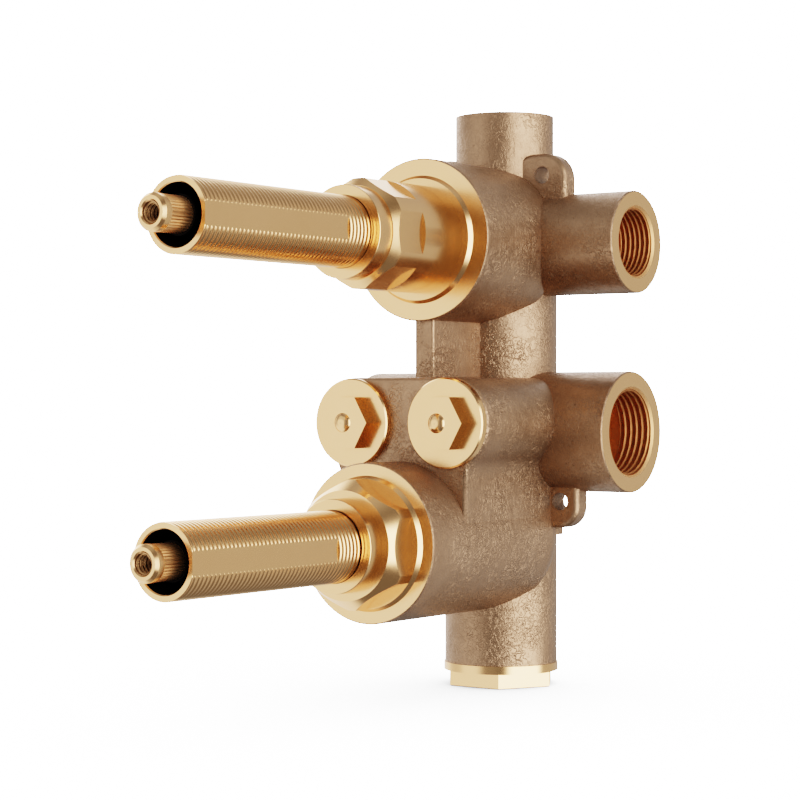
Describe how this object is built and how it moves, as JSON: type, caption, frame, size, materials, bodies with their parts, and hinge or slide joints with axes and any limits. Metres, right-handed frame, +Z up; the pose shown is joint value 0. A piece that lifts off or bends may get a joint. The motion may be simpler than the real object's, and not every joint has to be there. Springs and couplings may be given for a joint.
{
  "type": "shower diverter valve",
  "caption": "Concealed shower valve: cast bronze body with a diverter above, a temperature control below, threaded pipe ports, long threaded sleeves and splined spindles.",
  "frame": {"origin": "midway between the two lower ear holes, on the rear face of the ears, in the casting's middle plane", "axes": "+Z up as installed, -Y towards the room along both spindles, +X to the right seen from the room"},
  "size_m": [0.0963, 0.1888, 0.1793],
  "materials": {
    "cast_bronze": "sand-cast bronze with machined faces",
    "turned_brass": "plain turned brass",
    "rubber": "moulded rubber",
    "white_plastic": "moulded plastic",
    "ceramic": "lapped ceramic",
    "spring_steel": "drawn stainless wire and stamped clips"
  },
  "bodies": {
    "valve": {"valve_body": "cast_bronze", "bottom_plug": "turned_brass", "bottom_plug_ring": "rubber", "diverter_bonnet": "turned_brass", "diverter_bonnet_ring": "rubber", "diverter_sleeve": "turned_brass", "diverter_housing": "white_plastic", "diverter_fixed_disc": "ceramic", "diverter_base": "white_plastic", "diverter_base_seals": "rubber", "mixer_bonnet": "turned_brass", "mixer_bonnet_ring": "rubber", "mixer_sleeve": "turned_brass", "mixer_housing": "white_plastic", "mixer_housing_rings": "rubber", "return_spring": "spring_steel", "hot_check_plug": "turned_brass", "hot_plug_ring": "rubber", "hot_check_seat": "white_plastic", "hot_check_guide": "white_plastic", "hot_check_spring": "spring_steel", "cold_check_plug": "turned_brass", "cold_plug_ring": "rubber", "cold_check_seat": "white_plastic", "cold_check_guide": "white_plastic", "cold_check_spring": "spring_steel"},
    "diverter_control": {"diverter_spindle": "turned_brass", "diverter_stem": "turned_brass", "diverter_stem_rings": "rubber", "diverter_clip": "spring_steel", "diverter_driver": "white_plastic", "diverter_moving_disc": "ceramic"},
    "temperature_control": {"mixer_spindle": "turned_brass", "mixer_stem": "turned_brass", "mixer_stem_rings": "rubber", "mixer_clip": "spring_steel"},
    "thermostat": {"feed_nut": "turned_brass", "overload_spring": "spring_steel", "overload_plate": "turned_brass", "wax_element": "turned_brass", "mixing_shuttle": "white_plastic", "shuttle_ring": "rubber"},
    "hot_check": {"hot_check_poppet": "white_plastic", "hot_check_seal": "rubber"},
    "cold_check": {"cold_check_poppet": "white_plastic", "cold_check_seal": "rubber"}
  },
  "joints": [
    {"name": "diverter_turn", "type": "hinge", "parent": "valve", "child": "diverter_control", "pos_m": [0, -0.05, 0.0795], "axis": [0, -1, 0], "range_deg": [-45, 45]},
    {"name": "temperature_turn", "type": "hinge", "parent": "valve", "child": "temperature_control", "pos_m": [0, -0.06, -0.0105], "axis": [0, -1, 0], "range_deg": [-140, 140]},
    {"name": "temperature_feed", "type": "slide", "parent": "valve", "child": "thermostat", "axis": [0, -1, 0], "range_m": [-0.00075, 0.00075], "deforming": ["return_spring"]},
    {"name": "hot_check_lift", "type": "slide", "parent": "valve", "child": "hot_check", "axis": [0, -1, 0], "range_m": [0, 0.003], "stiffness_N_per_m": 60, "deforming": ["hot_check_spring"]},
    {"name": "cold_check_lift", "type": "slide", "parent": "valve", "child": "cold_check", "axis": [0, -1, 0], "range_m": [0, 0.003], "stiffness_N_per_m": 60, "deforming": ["cold_check_spring"]}
  ],
  "couplings": [
    {"joint": "temperature_turn", "follows": "temperature_feed", "rad_per_m": 3141.6}
  ]
}
